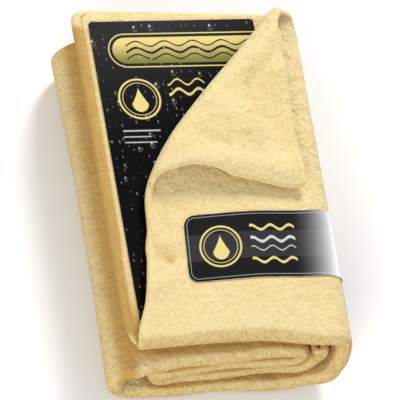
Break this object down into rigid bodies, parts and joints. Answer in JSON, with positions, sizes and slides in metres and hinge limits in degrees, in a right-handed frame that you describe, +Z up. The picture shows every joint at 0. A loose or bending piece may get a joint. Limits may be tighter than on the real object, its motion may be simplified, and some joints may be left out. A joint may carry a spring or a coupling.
{
  "type": "folded chamois leather",
  "caption": "Soft cream chamois hide doubled and folded into a flat pack, with a printed card in its front pocket, a turned-back flap corner and a printed wrap band round one side",
  "frame": {"origin": "on the floor, on the pack's flat underside, under the middle of the pack", "axes": "+X across the pack towards the banded side, +Y along the pack towards the open end of the pocket, +Z up out of the front"},
  "size_m": [0.1397, 0.217, 0.07],
  "materials": {
    "chamois": "soft napped suede",
    "card": "gloss-laminated printed board",
    "band": "gloss-laminated printed card strip"
  },
  "bodies": {
    "hide": {"chamois_hide": "chamois", "corner_bend": "chamois"},
    "corner": {"turned_corner": "chamois"},
    "card": {"insert_card": "card"},
    "band": {"wrap_band": "band"}
  },
  "joints": [
    {"name": "corner_turn", "type": "hinge", "parent": "hide", "child": "corner", "pos_m": [-0.0397, -0.0012, 0.0609], "axis": [-0.6852, -0.7283, 0], "range_deg": [0, 150], "deforming": ["corner_bend"]},
    {"name": "card_slide", "type": "slide", "parent": "hide", "child": "card", "axis": [0, 1, 0], "range_m": [0, 0.205]},
    {"name": "band_slide", "type": "slide", "parent": "hide", "child": "band", "axis": [0, -1, 0], "range_m": [0, 0.09]}
  ]
}
